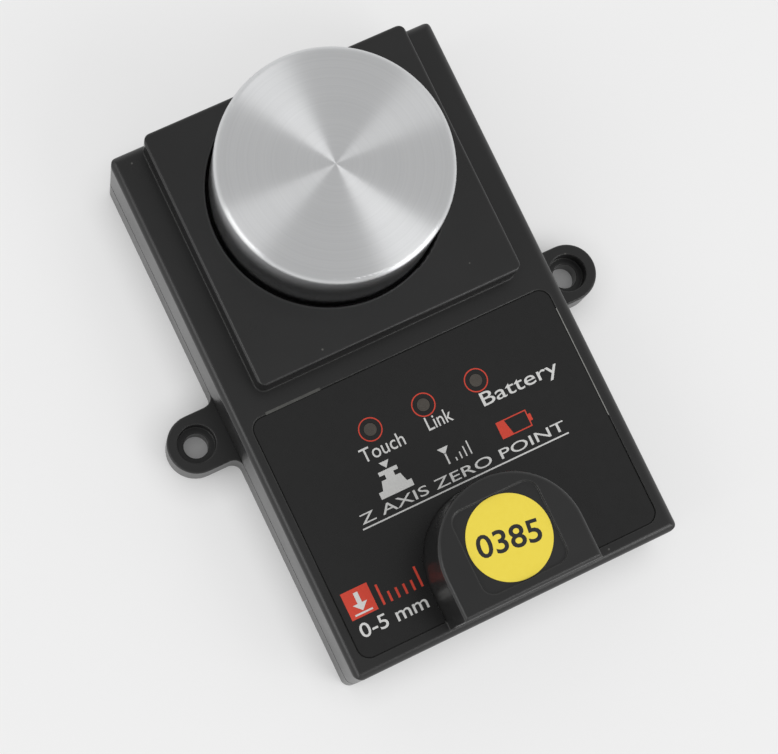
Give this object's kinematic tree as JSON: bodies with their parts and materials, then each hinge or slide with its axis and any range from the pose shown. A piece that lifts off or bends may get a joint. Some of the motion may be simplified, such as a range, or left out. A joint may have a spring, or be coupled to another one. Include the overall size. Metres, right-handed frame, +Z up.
{
  "type": "tool setter",
  "caption": "Flat wireless tool setter: black moulded box with bolt-down ears, an arched boss, an indicator panel and a sprung round aluminium button on a raised platform.",
  "frame": {"origin": "on the underside, at the middle of the body and midway between the two ears", "axes": "+Z up along the button's travel, +X from ear to ear in the label's reading direction, +Y from the boss end to the button end"},
  "size_m": [0.0814, 0.096, 0.0428],
  "materials": {
    "housing_plastic": "moulded black plastic with a fine spark-eroded grain",
    "label_film": "smooth printed film, satin",
    "sticker_paper": "yellow paper sticker",
    "lamp_plastic": "smoked clear plastic",
    "button_aluminium": "spun face, fine turned side",
    "seal_rubber": "black rubber",
    "board_laminate": "green circuit board laminate",
    "led_ceramic": "white lamp package",
    "chip_resin": "black moulded resin",
    "shield_steel": "tinned sheet",
    "contact_brass": "bright brass",
    "screw_steel": "zinc-plated steel",
    "spring_steel": "drawn spring steel",
    "cell_wrap": "printed cell sleeve",
    "ribbon_plastic": "flat lead"
  },
  "bodies": {
    "housing": {"upper_housing": "housing_plastic", "base": "housing_plastic", "housing_seal": "seal_rubber", "label_panel": "label_film", "number_sticker": "sticker_paper", "light_pipes": "lamp_plastic", "main_board": "board_laminate", "indicator_leds": "led_ceramic", "controller_chip": "chip_resin", "radio_module": "shield_steel", "antenna_coil": "contact_brass", "board_screws": "screw_steel", "housing_screws": "screw_steel", "battery_cells": "cell_wrap", "battery_springs": "spring_steel", "battery_plates": "spring_steel", "battery_cover": "housing_plastic", "cover_seal": "seal_rubber", "cover_screws": "screw_steel", "guide_bush": "contact_brass", "slot_sensor": "chip_resin", "sensor_board": "board_laminate", "sensor_ribbon": "ribbon_plastic", "sensor_screws": "screw_steel", "bottom_plug": "housing_plastic", "return_spring": "spring_steel"},
    "plunger": {"probe_button": "button_aluminium", "plunger_stem": "screw_steel", "stem_clip": "spring_steel", "button_seal": "seal_rubber", "sensor_flag": "spring_steel", "flag_screw": "screw_steel"}
  },
  "joints": [
    {"name": "plunger_slide", "type": "slide", "parent": "housing", "child": "plunger", "axis": [0, 0, -1], "range_m": [0, 0.005], "stiffness_N_per_m": 600, "springref_m": -0.005, "deforming": ["return_spring"]}
  ]
}
